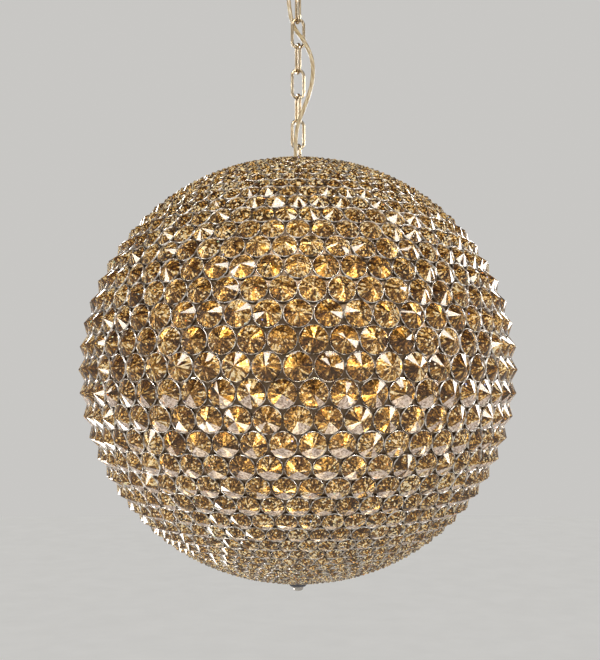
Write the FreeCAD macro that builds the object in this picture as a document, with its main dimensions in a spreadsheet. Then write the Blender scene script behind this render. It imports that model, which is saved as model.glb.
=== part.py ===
import FreeCAD, Part
import math
import os

import Sketcher

# Crystal ball pendant: a globe of cone-cut crystals in ring bezels, hung on a link chain below a
# ceiling canopy. Millimetres, +Z up, origin on the ceiling plane above the middle of the canopy.
# The globe splits at its equator: the lower half comes down once the finial nut is off the stem.

SIZES = {
    # Globe: the frame stands for the soldered bezels, with one crystal seated over each
    "globe_radius": 250,
    "frame_wall": 1.2,
    "skin_gap": 0.3,
    "seam_gap": 0.3,
    "crystal_count": 52,
    "crystal_fill_share": 0.97,
    "crystal_rise_share": 0.52,
    "row_step_share": 0.866,
    "cap_opening_radius": 42,
    "cap_lap": 5,
    "cap_wall": 1.5,
    # Chain of stadium links
    "link_count": 7,
    "link_wire": 3.6,
    "link_span": 34.4,
    "link_width": 14.4,
    "link_gap": 0.3,
    "chain_twist_angle": 16,
    # Loops that hold the chain's ends
    "loop_wire": 4,
    "loop_radius": 9,
    "loop_boss_radius": 8,
    "loop_boss_height": 10,
    "globe_boss_height": 6.3,
    "loop_shank_length": 18,
    # Ceiling fitting
    "canopy_radius": 60,
    "canopy_depth": 45,
    "canopy_wall": 1.2,
    "canopy_round": 12,
    "rim_clearance": 0.5,
    "collar_radius": 12,
    "collar_height": 8,
    "collar_bevel": 1.5,
    "nipple_radius": 5,
    "nipple_bore_radius": 3.5,
    "nipple_grip": 7,
    "bracket_length": 104,
    "bracket_width": 25,
    "bracket_thickness": 2.5,
    "slot_end_land": 7,
    "slot_length": 20,
    "slot_width": 5,
    "nut_flat_radius": 8,
    "nut_height": 5,
    "block_length": 36,
    "block_depth": 18,
    "block_height": 16,
    "block_well_radius": 1.8,
    "block_well_depth": 8,
    "block_wire_bore_radius": 1.4,
    "block_notch_width": 1.6,
    "block_notch_depth": 3,
    "block_fixing_radius": 1.6,
    "pole_pitch": 11,
    # Flex, its bushes and the places where it goes in
    "flex_diameter": 5,
    "bush_bore_clearance": 0.3,
    "bush_flange_radius": 6,
    "bush_flange_height": 3,
    "bush_neck_radius": 4.5,
    "bush_tail": 3,
    "canopy_inlet_x": -14,
    "canopy_inlet_y": 14,
    "globe_inlet_x": -3,
    "globe_inlet_y": -17,
    "globe_block_drop": 6.5,
    # Stem, lamp tiers and finial
    "stem_radius": 7,
    "stem_bore_radius": 4.5,
    "stem_flange_radius": 10,
    "stem_flange_height": 3,
    "turned_fit": 0.1,
    "hole_clearance": 0.3,
    "hub_radius": 20,
    "hub_height": 18,
    "hub_bevel": 2,
    "upper_tier_height": 150,
    "middle_tier_drop": 6,
    "lower_tier_drop": 125,
    "side_tier_arm": 26,
    "middle_tier_arm": 66,
    "side_tier_count": 4,
    "middle_tier_count": 6,
    "upper_tier_angle": 45,
    "middle_tier_angle": 98,
    "lower_tier_angle": 20,
    "arm_radius": 4,
    "arm_nut_radius": 7,
    "arm_nut_height": 4,
    "holder_radius": 9,
    "holder_length": 22,
    "holder_skirt_radius": 11,
    "holder_skirt_length": 6,
    "lamp_base_radius": 5,
    "lamp_base_length": 9,
    "lamp_neck_length": 3,
    "lamp_radius": 6.5,
    "lamp_length": 44,
    "lamp_tip_round": 6,
    "finial_radius": 10,
    "finial_height": 9,
    "finial_bevel": 1,
    "finial_floor": 2,
    "finial_flute_count": 20,
    "finial_flute_radius": 1,
    "dome_radius": 6.5,
    "dome_height": 5.5,
    "dome_round": 4,
    # Every cut runs past its solid by this much
    "overrun": 2,
}

# A crystal has fewer facets where it is small: six near the equator, then four, then three
HEX_ROWS_SHARE = 0.2
SQUARE_ROWS_SHARE = 0.66
BANDS = 6
# Each bend of the flex takes this share of the shorter run beside it
BEND_SHARE = 0.45
LEAST_BEND_DIAMETERS = 3

doc = FreeCAD.newDocument("CrystalPendant")
sheet = doc.addObject("Spreadsheet::Sheet", "Sizes")
for line, (name, value) in enumerate(SIZES.items(), start=1):
    sheet.set(f"A{line}", name)
    sheet.set(f"B{line}", str(value))
    sheet.setAlias(f"B{line}", name)
doc.recompute()


class Size:
    """A named size, or a sum made of named sizes, as a number and as the sheet's expression."""

    def __init__(self, number, text):
        self.number = number
        self.text = text

    def __add__(self, other):
        return Size(self.number + number(other), f"({self.text} + {text(other)})")

    def __sub__(self, other):
        return Size(self.number - number(other), f"({self.text} - {text(other)})")

    def __mul__(self, other):
        return Size(self.number * number(other), f"({self.text} * {text(other)})")

    def __truediv__(self, other):
        return Size(self.number / number(other), f"({self.text} / {text(other)})")

    def __neg__(self):
        return Size(-self.number, f"(0 - {self.text})")


def number(value):
    """The plain number of a size or of a number."""
    return value.number if isinstance(value, Size) else float(value)


def text(value):
    """A size or a number as an expression."""
    return value.text if isinstance(value, Size) else repr(value)


def root(value):
    """The square root of a size times a size."""
    return Size(math.sqrt(value.number), f"sqrt({value.text})")


size = {name: Size(float(value), f"Sizes.{name}") for name, value in SIZES.items()}
ZERO = Size(0.0, "0")
V = FreeCAD.Vector
UP = V(0, 0, 1)

nodes = []


def bind(thing, **sizes):
    """Set properties of a document object from sizes, through expressions."""
    for name, value in sizes.items():
        thing.setExpression(name, text(value))


def place(thing, x=ZERO, y=ZERO, z=ZERO, rotation=None):
    """Give an object its place from sizes, and a turn."""
    at = V(number(x), number(y), number(z))
    thing.Placement = FreeCAD.Placement(at, rotation or FreeCAD.Rotation())
    bind(thing, **{".Placement.Base.x": x, ".Placement.Base.y": y, ".Placement.Base.z": z})
    return thing


def named(thing, label):
    """Give a sub-part the label that its file is named by, and keep it for the export."""
    thing.Label = label
    nodes.append(thing)
    return thing


def new_body(name):
    return doc.addObject("PartDesign::Body", name)


def new_sketch(body, name, role):
    """A sketch on one of the body's own origin planes."""
    sketch = body.newObject("Sketcher::SketchObject", name)
    plane = next(f for f in body.Origin.OriginFeatures if f.Role == role)
    sketch.AttachmentSupport = [(plane, "")]
    sketch.MapMode = "FlatFace"
    return sketch


def fix_point(sketch, edge, end, x=None, y=None):
    """Hold an edge's end (1 start, 2 end, 3 centre) at sizes measured from the sketch's origin."""
    for kind, axis, value in (("DistanceX", -2, x), ("DistanceY", -1, y)):
        if value is None:
            continue
        if value is ZERO:
            sketch.addConstraint(Sketcher.Constraint("PointOnObject", edge, end, axis))
            continue
        at = sketch.addConstraint(Sketcher.Constraint(kind, -1, 1, edge, end, number(value)))
        sketch.setExpression(f"Constraints[{at}]", text(value))


def fix_radius(sketch, edge, value):
    at = sketch.addConstraint(Sketcher.Constraint("Radius", edge, number(value)))
    sketch.setExpression(f"Constraints[{at}]", text(value))


def join(sketch, edge, end, other, other_end):
    sketch.addConstraint(Sketcher.Constraint("Coincident", edge, end, other, other_end))


def polygon(sketch, corners):
    """A closed outline of straight edges through corners given as (x, y) sizes."""
    first = sketch.GeometryCount
    points = [V(number(x), number(y), 0) for x, y in corners]
    count = len(points)
    for i in range(count):
        sketch.addGeometry(Part.LineSegment(points[i], points[(i + 1) % count]), False)
    for i, (x, y) in enumerate(corners):
        join(sketch, first + i, 2, first + (i + 1) % count, 1)
        fix_point(sketch, first + i, 1, x, y)


def circle(sketch, radius, x=ZERO, y=ZERO):
    edge = sketch.GeometryCount
    sketch.addGeometry(Part.Circle(V(number(x), number(y), 0), UP, number(radius)), False)
    fix_radius(sketch, edge, radius)
    if x is ZERO and y is ZERO:
        join(sketch, edge, 3, -1, 1)
    else:
        fix_point(sketch, edge, 3, x, y)


def stadium(sketch, straight, radius, x=ZERO, upright=True):
    """Two straight legs joined by half circles; straight is half a leg's length."""
    first = sketch.GeometryCount
    half, r = number(straight), number(radius)
    turn = 0 if upright else -math.pi / 2

    def spot(across, along):
        if upright:
            return V(number(x) + across, along, 0)
        return V(number(x) + along, -across, 0)

    def arc(along, start):
        ring = Part.Circle(spot(0, along), UP, r)
        return Part.ArcOfCircle(ring, start + turn, start + turn + math.pi)

    sketch.addGeometry(Part.LineSegment(spot(-r, -half), spot(-r, half)), False)
    sketch.addGeometry(arc(half, 0), False)
    sketch.addGeometry(Part.LineSegment(spot(r, half), spot(r, -half)), False)
    sketch.addGeometry(arc(-half, math.pi), False)
    join(sketch, first, 2, first + 1, 2)
    join(sketch, first + 1, 1, first + 2, 1)
    join(sketch, first + 2, 2, first + 3, 2)
    join(sketch, first + 3, 1, first, 1)
    ends = ((0, 1, -1, -1), (0, 2, -1, 1), (2, 1, 1, 1), (2, 2, 1, -1))
    for edge, end, across, along in ends:
        a, b = radius * across, straight * along
        if upright:
            fix_point(sketch, first + edge, end, a if x is ZERO else x + a, b)
        else:
            fix_point(sketch, first + edge, end, x + b, -a)
    for edge, along in ((1, 1), (3, -1)):
        if upright:
            fix_point(sketch, first + edge, 3, None, straight * along)
        else:
            fix_point(sketch, first + edge, 3, x + straight * along)


def revolve(body, sketch):
    """Turn a sketch on the XZ plane a full turn about the body's Z axis."""
    turned = body.newObject("PartDesign::Revolution", "Turned")
    turned.Profile = sketch
    turned.ReferenceAxis = (sketch, ["V_Axis"])
    turned.Angle = 360
    sketch.Visibility = False
    return turned


def turned_piece(name, corners):
    """A body turned from an outline of (radius, height) corners."""
    body = new_body(name)
    sketch = new_sketch(body, "Outline", "XZ_Plane")
    polygon(sketch, corners)
    revolve(body, sketch)
    return body


def pocket_through(body, sketch):
    cut = body.newObject("PartDesign::Pocket", "Cut")
    cut.Profile = sketch
    cut.Type = "ThroughAll"
    cut.Midplane = True
    return cut


def round_edges(body, radius, chosen):
    """Fillet the body's edges that chosen(edge) picks."""
    doc.recompute()
    tip = body.Tip
    picked = [f"Edge{i}" for i, edge in enumerate(tip.Shape.Edges, start=1) if chosen(edge)]
    fillet = body.newObject("PartDesign::Fillet", "Round")
    fillet.Base = (tip, picked)
    bind(fillet, Radius=radius)
    return fillet


def ring_edge(radius, height):
    """Picks circular edges of a radius at a height in the body's own frame."""

    def chosen(edge):
        curve = edge.Curve
        if not isinstance(curve, Part.Circle):
            return False
        near = math.isclose(curve.Radius, number(radius), rel_tol=1e-6)
        return near and math.isclose(curve.Center.z, number(height), rel_tol=1e-6, abs_tol=1e-6)

    return chosen


def cylinder(name, radius, height, **where):
    made = doc.addObject("Part::Cylinder", name)
    bind(made, Radius=radius, Height=height)
    return place(made, **where)


def fused(name, *pieces):
    made = doc.addObject("Part::MultiFuse", name)
    made.Shapes = list(pieces)
    return made


def cut_from(name, base, *tools):
    """base less tools."""
    tool = tools[0] if len(tools) == 1 else fused(name + "Tools", *tools)
    made = doc.addObject("Part::Cut", name)
    made.Base = base
    made.Tool = tool
    return made


# Levels, from the ceiling down to the middle of the globe
canopy_floor = -size["canopy_depth"]
ceiling_boss_top = canopy_floor - size["collar_height"]
ceiling_ring_middle = (
    ceiling_boss_top - size["loop_boss_height"] - size["loop_radius"] + size["loop_wire"] / 2
)
first_contact = ceiling_ring_middle - size["loop_radius"]
contact_step = (size["loop_wire"] + size["link_wire"]) / 2 + size["link_gap"]
first_link_top = first_contact + contact_step
link_pitch = size["link_span"] - size["link_wire"] - size["link_gap"]
last_link_foot = first_link_top - link_pitch * (size["link_count"] - 1) - size["link_span"]
globe_ring_middle = last_link_foot + contact_step - size["loop_radius"]

# The cap plates lie inside the frame, so their outer radius is the frame's inner one less a gap
frame_radius = size["globe_radius"] - size["skin_gap"]
frame_inner = frame_radius - size["frame_wall"]
cap_radius = frame_inner - size["skin_gap"]
cap_inner = cap_radius - size["cap_wall"]
globe_seat_level = globe_ring_middle - size["loop_radius"] + size["loop_wire"] / 2
globe_middle = globe_seat_level - size["globe_boss_height"] - cap_radius

UPPER, LOWER = 1, -1
twist = FreeCAD.Rotation(UP, size["chain_twist_angle"].number)
cross_twist = FreeCAD.Rotation(UP, size["chain_twist_angle"].number + 90)
on_edge = cross_twist * FreeCAD.Rotation(V(1, 0, 0), 90)


def ceiling_fitting():
    """Bracket, nipple and nut, canopy cup and collar, terminal block and the chain's upper loop."""
    body = new_body("Bracket")
    sketch = new_sketch(body, "Strap", "XY_Plane")
    end, side = size["bracket_length"] / 2, size["bracket_width"] / 2
    polygon(sketch, [(-end, -side), (end, -side), (end, side), (-end, side)])
    circle(sketch, size["nipple_radius"] + size["hole_clearance"])
    slot_radius = size["slot_width"] / 2
    slot_spacing = size["bracket_length"] - size["slot_end_land"] * 2 - size["slot_length"]
    for way in (1, -1):
        x = slot_spacing / 2 * way
        stadium(sketch, size["slot_length"] / 2 - slot_radius, slot_radius, x, upright=False)
    pad = body.newObject("PartDesign::Pad", "Plate")
    pad.Profile = sketch
    pad.Reversed = True
    bind(pad, Length=size["bracket_thickness"])
    named(body, "ceiling_bracket")

    top = -size["rim_clearance"]
    length = top - ceiling_boss_top + size["nipple_grip"]
    tube = cut_from(
        "Nipple",
        cylinder("NippleRod", size["nipple_radius"], length, z=top - length),
        cylinder(
            "NippleBore",
            size["nipple_bore_radius"],
            length + size["overrun"] * 2,
            z=top - length - size["overrun"],
        ),
    )
    named(tube, "threaded_nipple")

    prism = doc.addObject("Part::Prism", "NutBlank")
    prism.Polygon = 6
    bind(prism, Circumradius=size["nut_flat_radius"], Height=size["nut_height"])
    place(prism, z=-size["bracket_thickness"] - size["nut_height"])
    bore = cylinder(
        "NutBore",
        size["nipple_radius"] + size["turned_fit"],
        size["nut_height"] + size["overrun"] * 2,
        z=-size["bracket_thickness"] - size["nut_height"] - size["overrun"],
    )
    named(cut_from("BracketNut", prism, bore), "bracket_nut")

    outer, wall, depth = size["canopy_radius"], size["canopy_wall"], size["canopy_depth"]
    hole = size["nipple_radius"] + size["hole_clearance"]
    rim = -size["rim_clearance"]
    body = turned_piece(
        "Canopy",
        [
            (hole, -depth),
            (outer, -depth),
            (outer, rim),
            (outer - wall, rim),
            (outer - wall, wall - depth),
            (hole, wall - depth),
        ],
    )
    round_edges(body, size["canopy_round"], ring_edge(outer, -depth))
    inner_round = size["canopy_round"] - wall
    round_edges(body, inner_round, ring_edge(outer - wall, wall - depth))
    sketch = new_sketch(body, "Inlet", "XY_Plane")
    circle(sketch, size["bush_neck_radius"], size["canopy_inlet_x"], size["canopy_inlet_y"])
    pocket_through(body, sketch)
    named(body, "canopy")

    bevel, height = size["collar_bevel"], size["collar_height"]
    outer, bore = size["collar_radius"], size["nipple_radius"] + size["turned_fit"]
    collar = turned_piece(
        "Collar",
        [
            (bore, -height),
            (outer - bevel, -height),
            (outer, bevel - height),
            (outer, -bevel),
            (outer - bevel, ZERO),
            (bore, ZERO),
        ],
    )
    named(place(collar, z=canopy_floor), "canopy_collar")

    ring = doc.addObject("Part::Torus", "CeilingRing")
    bind(ring, Radius1=size["loop_radius"], Radius2=size["loop_wire"] / 2)
    place(ring, z=ceiling_ring_middle, rotation=on_edge)
    boss_foot = ceiling_boss_top - size["loop_boss_height"]
    boss = cylinder(
        "CeilingBoss", size["loop_boss_radius"], size["loop_boss_height"], z=boss_foot
    )
    bore = cylinder(
        "CeilingBossBore",
        size["nipple_radius"] + size["turned_fit"],
        size["nipple_grip"] + size["overrun"],
        z=ceiling_boss_top - size["nipple_grip"],
    )
    named(cut_from("CeilingLoop", fused("CeilingLoopBlank", ring, boss), bore), "ceiling_loop")

    beside_nut = size["nut_flat_radius"] + size["skin_gap"] + size["block_depth"] / 2
    block = terminal_block("CeilingBlock", size["canopy_inlet_x"], beside_nut)
    place(block, z=-size["bracket_thickness"] - size["block_height"])
    named(block, "ceiling_terminal_block")


def terminal_block(name, x, y):
    """A three-pole block: two screw wells and a wire bore in each pole, and notches between poles."""
    body = new_body(name)
    sketch = new_sketch(body, "Sole", "XY_Plane")
    half, side = size["block_length"] / 2, size["block_depth"] / 2
    left, right, front, back = x - half, x + half, y - side, y + side
    polygon(sketch, [(left, front), (right, front), (right, back), (left, back)])
    pad = body.newObject("PartDesign::Pad", "Block")
    pad.Profile = sketch
    bind(pad, Length=size["block_height"])
    poles = [x + size["pole_pitch"] * pole for pole in (-1, 0, 1)]
    between = [x + size["pole_pitch"] * way / 2 for way in (-1, 1)]

    wells = new_sketch(body, "Wells", "XY_Plane")
    for pole in poles:
        for way in (-1, 1):
            circle(wells, size["block_well_radius"], pole, y + side * way / 2)
    sunk = body.newObject("PartDesign::Pocket", "ScrewWells")
    sunk.Profile = wells
    sunk.Reversed = True
    bind(sunk, Length=size["block_well_depth"])

    wires = new_sketch(body, "Wires", "XZ_Plane")
    for pole in poles:
        circle(wires, size["block_wire_bore_radius"], pole, size["block_height"] / 2)
    pocket_through(body, wires)

    parting = new_sketch(body, "Parting", "XY_Plane")
    for gap in between:
        circle(parting, size["block_fixing_radius"], gap, y)
        near, far = gap - size["block_notch_width"] / 2, gap + size["block_notch_width"] / 2
        for edge, way in ((front, 1), (back, -1)):
            floor, past = edge + size["block_notch_depth"] * way, edge - size["overrun"] * way
            polygon(parting, [(near, past), (far, past), (far, floor), (near, floor)])
    pocket_through(body, parting)
    return body


def bush(name, x, y, wall, seat, label):
    """A flanged bush that leads the flex through a wall; seat is the wall's outer face."""
    bore = size["flex_diameter"] / 2 + size["bush_bore_clearance"]
    neck, flange = size["bush_neck_radius"], size["bush_flange_radius"]
    tail, lip = wall + size["bush_tail"], size["bush_flange_height"]
    corners = [
        (bore, -tail),
        (neck, -tail),
        (neck, ZERO),
        (flange, ZERO),
        (flange, lip / 2),
        (neck, lip),
        (bore, lip),
    ]
    return named(place(turned_piece(name, corners), x, y, seat), label)


def chain():
    """The links, each one turned a quarter from the last and resting on its wire."""
    radius = size["link_width"] / 2
    straight = size["link_span"] / 2 - radius
    for i in range(int(SIZES["link_count"])):
        body = new_body(f"Link{i + 1}")
        path = new_sketch(body, "Path", "XZ_Plane")
        stadium(path, straight, radius)
        wire = new_sketch(body, "Wire", "XY_Plane")
        circle(wire, size["link_wire"] / 2, radius)
        pipe = body.newObject("PartDesign::AdditivePipe", "Link")
        pipe.Profile = wire
        pipe.Spine = (path, [])
        middle = first_link_top - link_pitch * i - size["link_span"] / 2
        place(body, z=middle, rotation=cross_twist if i % 2 else twist)
        named(body, f"chain_link_{i + 1}")


def sphere_band(name, outer, inner, start, stop):
    """A spherical wall between two corners, each held by its radius or its height."""
    body = new_body(name)
    sketch = new_sketch(body, "Outline", "XZ_Plane")

    def corner(radius, end):
        way, value = end
        given = number(value)
        other = math.sqrt(number(radius) ** 2 - given**2)
        return (given, other) if way == "radius" else (other, given)

    def angle(point):
        return math.atan2(point[1], point[0])

    for radius in (outer, inner):
        sweep = sorted(angle(corner(radius, end)) for end in (start, stop))
        ring = Part.Circle(V(0, 0, 0), UP, number(radius))
        sketch.addGeometry(Part.ArcOfCircle(ring, *sweep), False)
    for end in (start, stop):
        a, b = corner(outer, end), corner(inner, end)
        sketch.addGeometry(Part.LineSegment(V(*a, 0), V(*b, 0)), False)
    join(sketch, 2, 1, 0, 1)
    join(sketch, 2, 2, 1, 1)
    join(sketch, 3, 1, 0, 2)
    join(sketch, 3, 2, 1, 2)
    for edge, radius in ((0, outer), (1, inner)):
        join(sketch, edge, 3, -1, 1)
        fix_radius(sketch, edge, radius)
        for spot, (way, value) in ((1, start), (2, stop)):
            if way == "radius":
                fix_point(sketch, edge, spot, x=value)
            else:
                fix_point(sketch, edge, spot, y=value)
    revolve(body, sketch)
    return body


def half_turn():
    """Turns an upper piece about X into the lower one."""
    return FreeCAD.Rotation(V(1, 0, 0), 180)


def row_latitude(row):
    """Rows step evenly on a Mercator net, so that equal counts of shrinking crystals stay packed."""
    step = SIZES["row_step_share"] * 2 * math.pi / SIZES["crystal_count"]
    return math.asin(math.tanh(row * step))


def crystal_radius(latitude):
    chord = size["globe_radius"].number * math.pi / SIZES["crystal_count"]
    return chord * math.cos(latitude) * SIZES["crystal_fill_share"]


def last_row():
    """The last row whose crystals stay clear of the cap's opening."""
    row = 0
    reach = size["globe_radius"].number
    while True:
        latitude = row_latitude(row + 1)
        edge = latitude + crystal_radius(latitude) / reach
        if edge > math.pi / 2 or reach * math.cos(edge) < SIZES["cap_opening_radius"]:
            return row
        row += 1


def cut_crystal(radius, sides):
    """A pointed crystal on its girdle plane: flat facets that meet at the tip, closed behind."""
    tip = V(0, 0, radius * SIZES["crystal_rise_share"])
    turn = 2 * math.pi / sides
    rim = [V(-radius * math.sin(i * turn), radius * math.cos(i * turn), 0) for i in range(sides)]
    faces = [Part.Face(Part.makePolygon(rim + rim[:1]))]
    for i in range(sides):
        a, b = rim[i], rim[(i + 1) % sides]
        faces.append(Part.Face(Part.makePolygon([a, b, tip, a])))
    return Part.Solid(Part.Shell(faces))


def crystal_row(row, sides):
    """One row: its crystals stand square to the globe, and odd rows are staggered by half a pitch."""
    count = int(SIZES["crystal_count"])
    latitude = row_latitude(row)
    pattern = cut_crystal(crystal_radius(latitude), sides)
    lean = FreeCAD.Rotation(V(0, 1, 0), 90 - math.degrees(latitude))
    upright = FreeCAD.Rotation(UP, 90)
    made = []
    for i in range(count):
        azimuth = 360 * (i + 0.5 * (row % 2)) / count - 90
        turn = FreeCAD.Rotation(UP, azimuth) * lean
        middle = turn.multVec(V(0, 0, size["globe_radius"].number))
        crystal = pattern.copy()
        crystal.Placement = FreeCAD.Placement(middle, turn * upright)
        made.append(crystal)
    return made


def crystal_bands(side, first_row):
    """The crystals of one half of the globe, in bands of rows from the equator to the cap."""
    end = last_row()
    rows = list(range(first_row, end + 1))
    share = len(rows) / BANDS
    word = "upper" if side == UPPER else "lower"
    for band in range(BANDS):
        inside = [row for i, row in enumerate(rows) if int(i / share) == band]
        crystals = []
        for row in inside:
            level = row / end
            sides = 6 if level < HEX_ROWS_SHARE else 4 if level < SQUARE_ROWS_SHARE else 3
            crystals += crystal_row(row * side, sides)
        group = doc.addObject("Part::Feature", f"Crystals{word.title()}{band + 1}")
        group.Shape = Part.makeCompound(crystals)
        place(group, z=globe_middle)
        named(group, f"crystals_{word}_{band + 1}")


def globe_frames():
    """The two halves of the frame and the two cap plates at the poles."""
    seam = -size["globe_radius"] * math.pi * size["row_step_share"] / size["crystal_count"]
    opening = size["cap_opening_radius"]
    upper = sphere_band("UpperFrame", frame_radius, frame_inner, ("height", seam), ("radius", opening))
    named(place(upper, z=globe_middle), "upper_frame")
    edge = ("height", -(seam - size["seam_gap"]))
    lower = sphere_band("LowerFrame", frame_radius, frame_inner, edge, ("radius", opening))
    named(place(lower, z=globe_middle, rotation=half_turn()), "lower_frame")

    rim = ("radius", opening + size["cap_lap"])
    hole = size["stem_bore_radius"] - size["turned_fit"] + size["hole_clearance"]
    plate = sphere_band("TopPlate", cap_radius, cap_inner, rim, ("radius", hole))
    sketch = new_sketch(plate, "Inlet", "XY_Plane")
    circle(sketch, size["bush_neck_radius"], size["globe_inlet_x"], size["globe_inlet_y"])
    pocket_through(plate, sketch)
    named(place(plate, z=globe_middle), "top_plate")
    hole = size["stem_radius"] + size["hole_clearance"]
    plate = sphere_band("BottomPlate", cap_radius, cap_inner, rim, ("radius", hole))
    named(place(plate, z=globe_middle, rotation=half_turn()), "bottom_plate")


def globe_loop():
    """The eye that carries the globe: ring, boss on the top plate, shank down the stem's bore."""
    ring = doc.addObject("Part::Torus", "GlobeRing")
    bind(ring, Radius1=size["loop_radius"], Radius2=size["loop_wire"] / 2)
    place(ring, z=globe_ring_middle, rotation=on_edge)
    seat = globe_middle + cap_radius
    boss = cylinder("GlobeBoss", size["loop_boss_radius"], size["globe_boss_height"], z=seat)
    shank = cylinder(
        "GlobeShank",
        size["stem_bore_radius"] - size["turned_fit"],
        size["loop_shank_length"] + size["overrun"],
        z=seat - size["loop_shank_length"],
    )
    named(fused("GlobeLoop", ring, boss, shank), "globe_loop")


def stem_top():
    flange = size["stem_flange_radius"]
    return root(cap_inner * cap_inner - flange * flange)


def stem():
    """The tube that the tiers sit on, from the top plate through the bottom one into the finial."""
    top = stem_top()
    foot = -(cap_radius + size["finial_height"] - size["finial_floor"])
    bore, body, flange = size["stem_bore_radius"], size["stem_radius"], size["stem_flange_radius"]
    shoulder = top - size["stem_flange_height"]
    corners = [
        (bore, foot),
        (body, foot),
        (body, shoulder),
        (flange, shoulder),
        (flange, top),
        (bore, top),
    ]
    named(place(turned_piece("Stem", corners), z=globe_middle), "stem")


def lampholder(name):
    """A ceramic holder that stands on its sole, with a flared skirt round the socket."""
    length, flared = size["holder_length"], size["holder_length"] - size["holder_skirt_length"]
    radius, skirt = size["holder_radius"], size["holder_skirt_radius"]
    socket = size["lamp_base_radius"] + size["hole_clearance"]
    floor = length - size["lamp_base_length"] - size["skin_gap"]
    corners = [
        (ZERO, ZERO),
        (radius, ZERO),
        (radius, flared - skirt + radius),
        (skirt, flared),
        (skirt, length),
        (socket, length),
        (socket, floor),
        (ZERO, floor),
    ]
    return turned_piece(name, corners)


def lamp(name):
    """A capsule lamp: its base below the holder's face, the neck, the glass and its round tip."""
    base, glass, tip = size["lamp_base_radius"], size["lamp_radius"], size["lamp_length"]
    corners = [
        (ZERO, -size["lamp_base_length"]),
        (base, -size["lamp_base_length"]),
        (base, ZERO),
        (glass, size["lamp_neck_length"]),
        (glass, tip),
        (ZERO, tip),
    ]
    body = turned_piece(name, corners)
    round_edges(body, size["lamp_tip_round"], ring_edge(glass, tip))
    return body


def arm_bar(name, length):
    """A straight arm with the hexagon nut that locks it to its hub."""
    bar = cylinder(name + "Bar", size["arm_radius"], length)
    nut = doc.addObject("Part::Prism", name + "Nut")
    nut.Polygon = 6
    bind(nut, Circumradius=size["arm_nut_radius"], Height=size["arm_nut_height"])
    return fused(name, bar, nut)


def lamp_tier(word, height, arm, count, angle):
    """A hub on the stem with arms, lampholders and capsule lamps spread round it."""
    outer, bore = size["hub_radius"], size["stem_radius"] + size["turned_fit"]
    half, bevel = size["hub_height"] / 2, size["hub_bevel"]
    corners = [
        (bore, -half),
        (outer - bevel, -half),
        (outer, bevel - half),
        (outer, half - bevel),
        (outer - bevel, half),
        (bore, half),
    ]
    level = globe_middle + height
    hub = turned_piece(f"{word.title()}Hub", corners)
    named(place(hub, z=level), f"{word}_hub")
    arms, holders, lamps = [], [], []
    holder_seat = outer + arm
    lamp_seat = holder_seat + size["holder_length"]
    for i in range(int(number(count))):
        azimuth = number(angle) + 360 * i / number(count)
        along, across = math.cos(math.radians(azimuth)), math.sin(math.radians(azimuth))
        out = FreeCAD.Rotation(UP, azimuth) * FreeCAD.Rotation(V(0, 1, 0), 90)
        tag = f"{word.title()}{i + 1}"
        row = (
            (arms, arm_bar("Arm" + tag, arm), outer),
            (holders, lampholder("Holder" + tag), holder_seat),
            (lamps, lamp("Lamp" + tag), lamp_seat),
        )
        for group, piece, start in row:
            group.append(place(piece, start * along, start * across, level, out))
    for kind, pieces in (("arms", arms), ("lampholders", holders), ("lamps", lamps)):
        group = doc.addObject("Part::Compound", f"{word.title()}{kind.title()}")
        group.Links = pieces
        named(group, f"{word}_{kind}")


def finial():
    """The fluted nut that holds up the lower half, and the small dome screwed under it."""
    outer, bore = size["finial_radius"], size["stem_radius"] + size["turned_fit"]
    height, bevel, floor = size["finial_height"], size["finial_bevel"], size["finial_floor"]
    top = -size["skin_gap"]
    floor_level = floor - height
    corners = [
        (ZERO, -height),
        (outer - bevel, -height),
        (outer, bevel - height),
        (outer, top - bevel),
        (outer - bevel, top),
        (bore, top),
        (bore, floor_level - size["turned_fit"]),
        (ZERO, floor_level - size["turned_fit"]),
    ]
    nut = turned_piece("Finial", corners)
    sketch = new_sketch(nut, "Flute", "XY_Plane")
    circle(sketch, size["finial_flute_radius"], outer + size["finial_flute_radius"] / 2)
    flute = pocket_through(nut, sketch)
    ring = nut.newObject("PartDesign::PolarPattern", "Flutes")
    ring.Originals = [flute]
    ring.Axis = (sketch, ["N_Axis"])
    ring.Angle = 360
    bind(ring, Occurrences=size["finial_flute_count"])
    nut.Tip = ring
    seat = globe_middle - cap_radius
    named(place(nut, z=seat), "finial_nut")
    dome = turned_piece(
        "Dome",
        [
            (ZERO, -size["dome_height"]),
            (size["dome_radius"], -size["dome_height"]),
            (size["dome_radius"], ZERO),
            (ZERO, ZERO),
        ],
    )
    round_edges(dome, size["dome_round"], ring_edge(size["dome_radius"], -size["dome_height"]))
    named(place(dome, z=seat - height), "finial_dome")


def flex_route():
    """The flex from one terminal block to the other, laced once through the third link."""
    ceiling_end = -size["bracket_thickness"].number - size["block_height"].number
    inlet = size["canopy_inlet_x"].number, size["canopy_inlet_y"].number
    outlet = size["globe_inlet_x"].number, size["globe_inlet_y"].number
    globe_end = number(globe_middle + cap_radius - size["globe_block_drop"])
    middle = number(globe_middle)
    hung = [
        (-14.4, 13.7, 494),
        (-13.4, 12.8, 474),
        (-12.0, 11.2, 456),
        (-10.4, 9.4, 439),
        (-8.0, 7.6, 424),
        (-2.0, 2.8, 409),
        (5.4, -4.0, 398),
        (11.6, -7.6, 386),
        (16.4, -9.4, 373),
        (18.3, -10.2, 358),
        (16.8, -11.0, 342),
        (12.8, -12.2, 327),
        (7.6, -13.2, 313),
        (2.4, -13.2, 300),
        (-1.4, -12.8, 287),
        (-2.9, -14.6, 273),
        (*outlet, 257),
    ]
    points = [(*inlet, ceiling_end), (*inlet, -36)]
    points += [(x, y, z + middle) for x, y, z in hung]
    points += [(*outlet, globe_end)]
    return [V(*point) for point in points]


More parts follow.
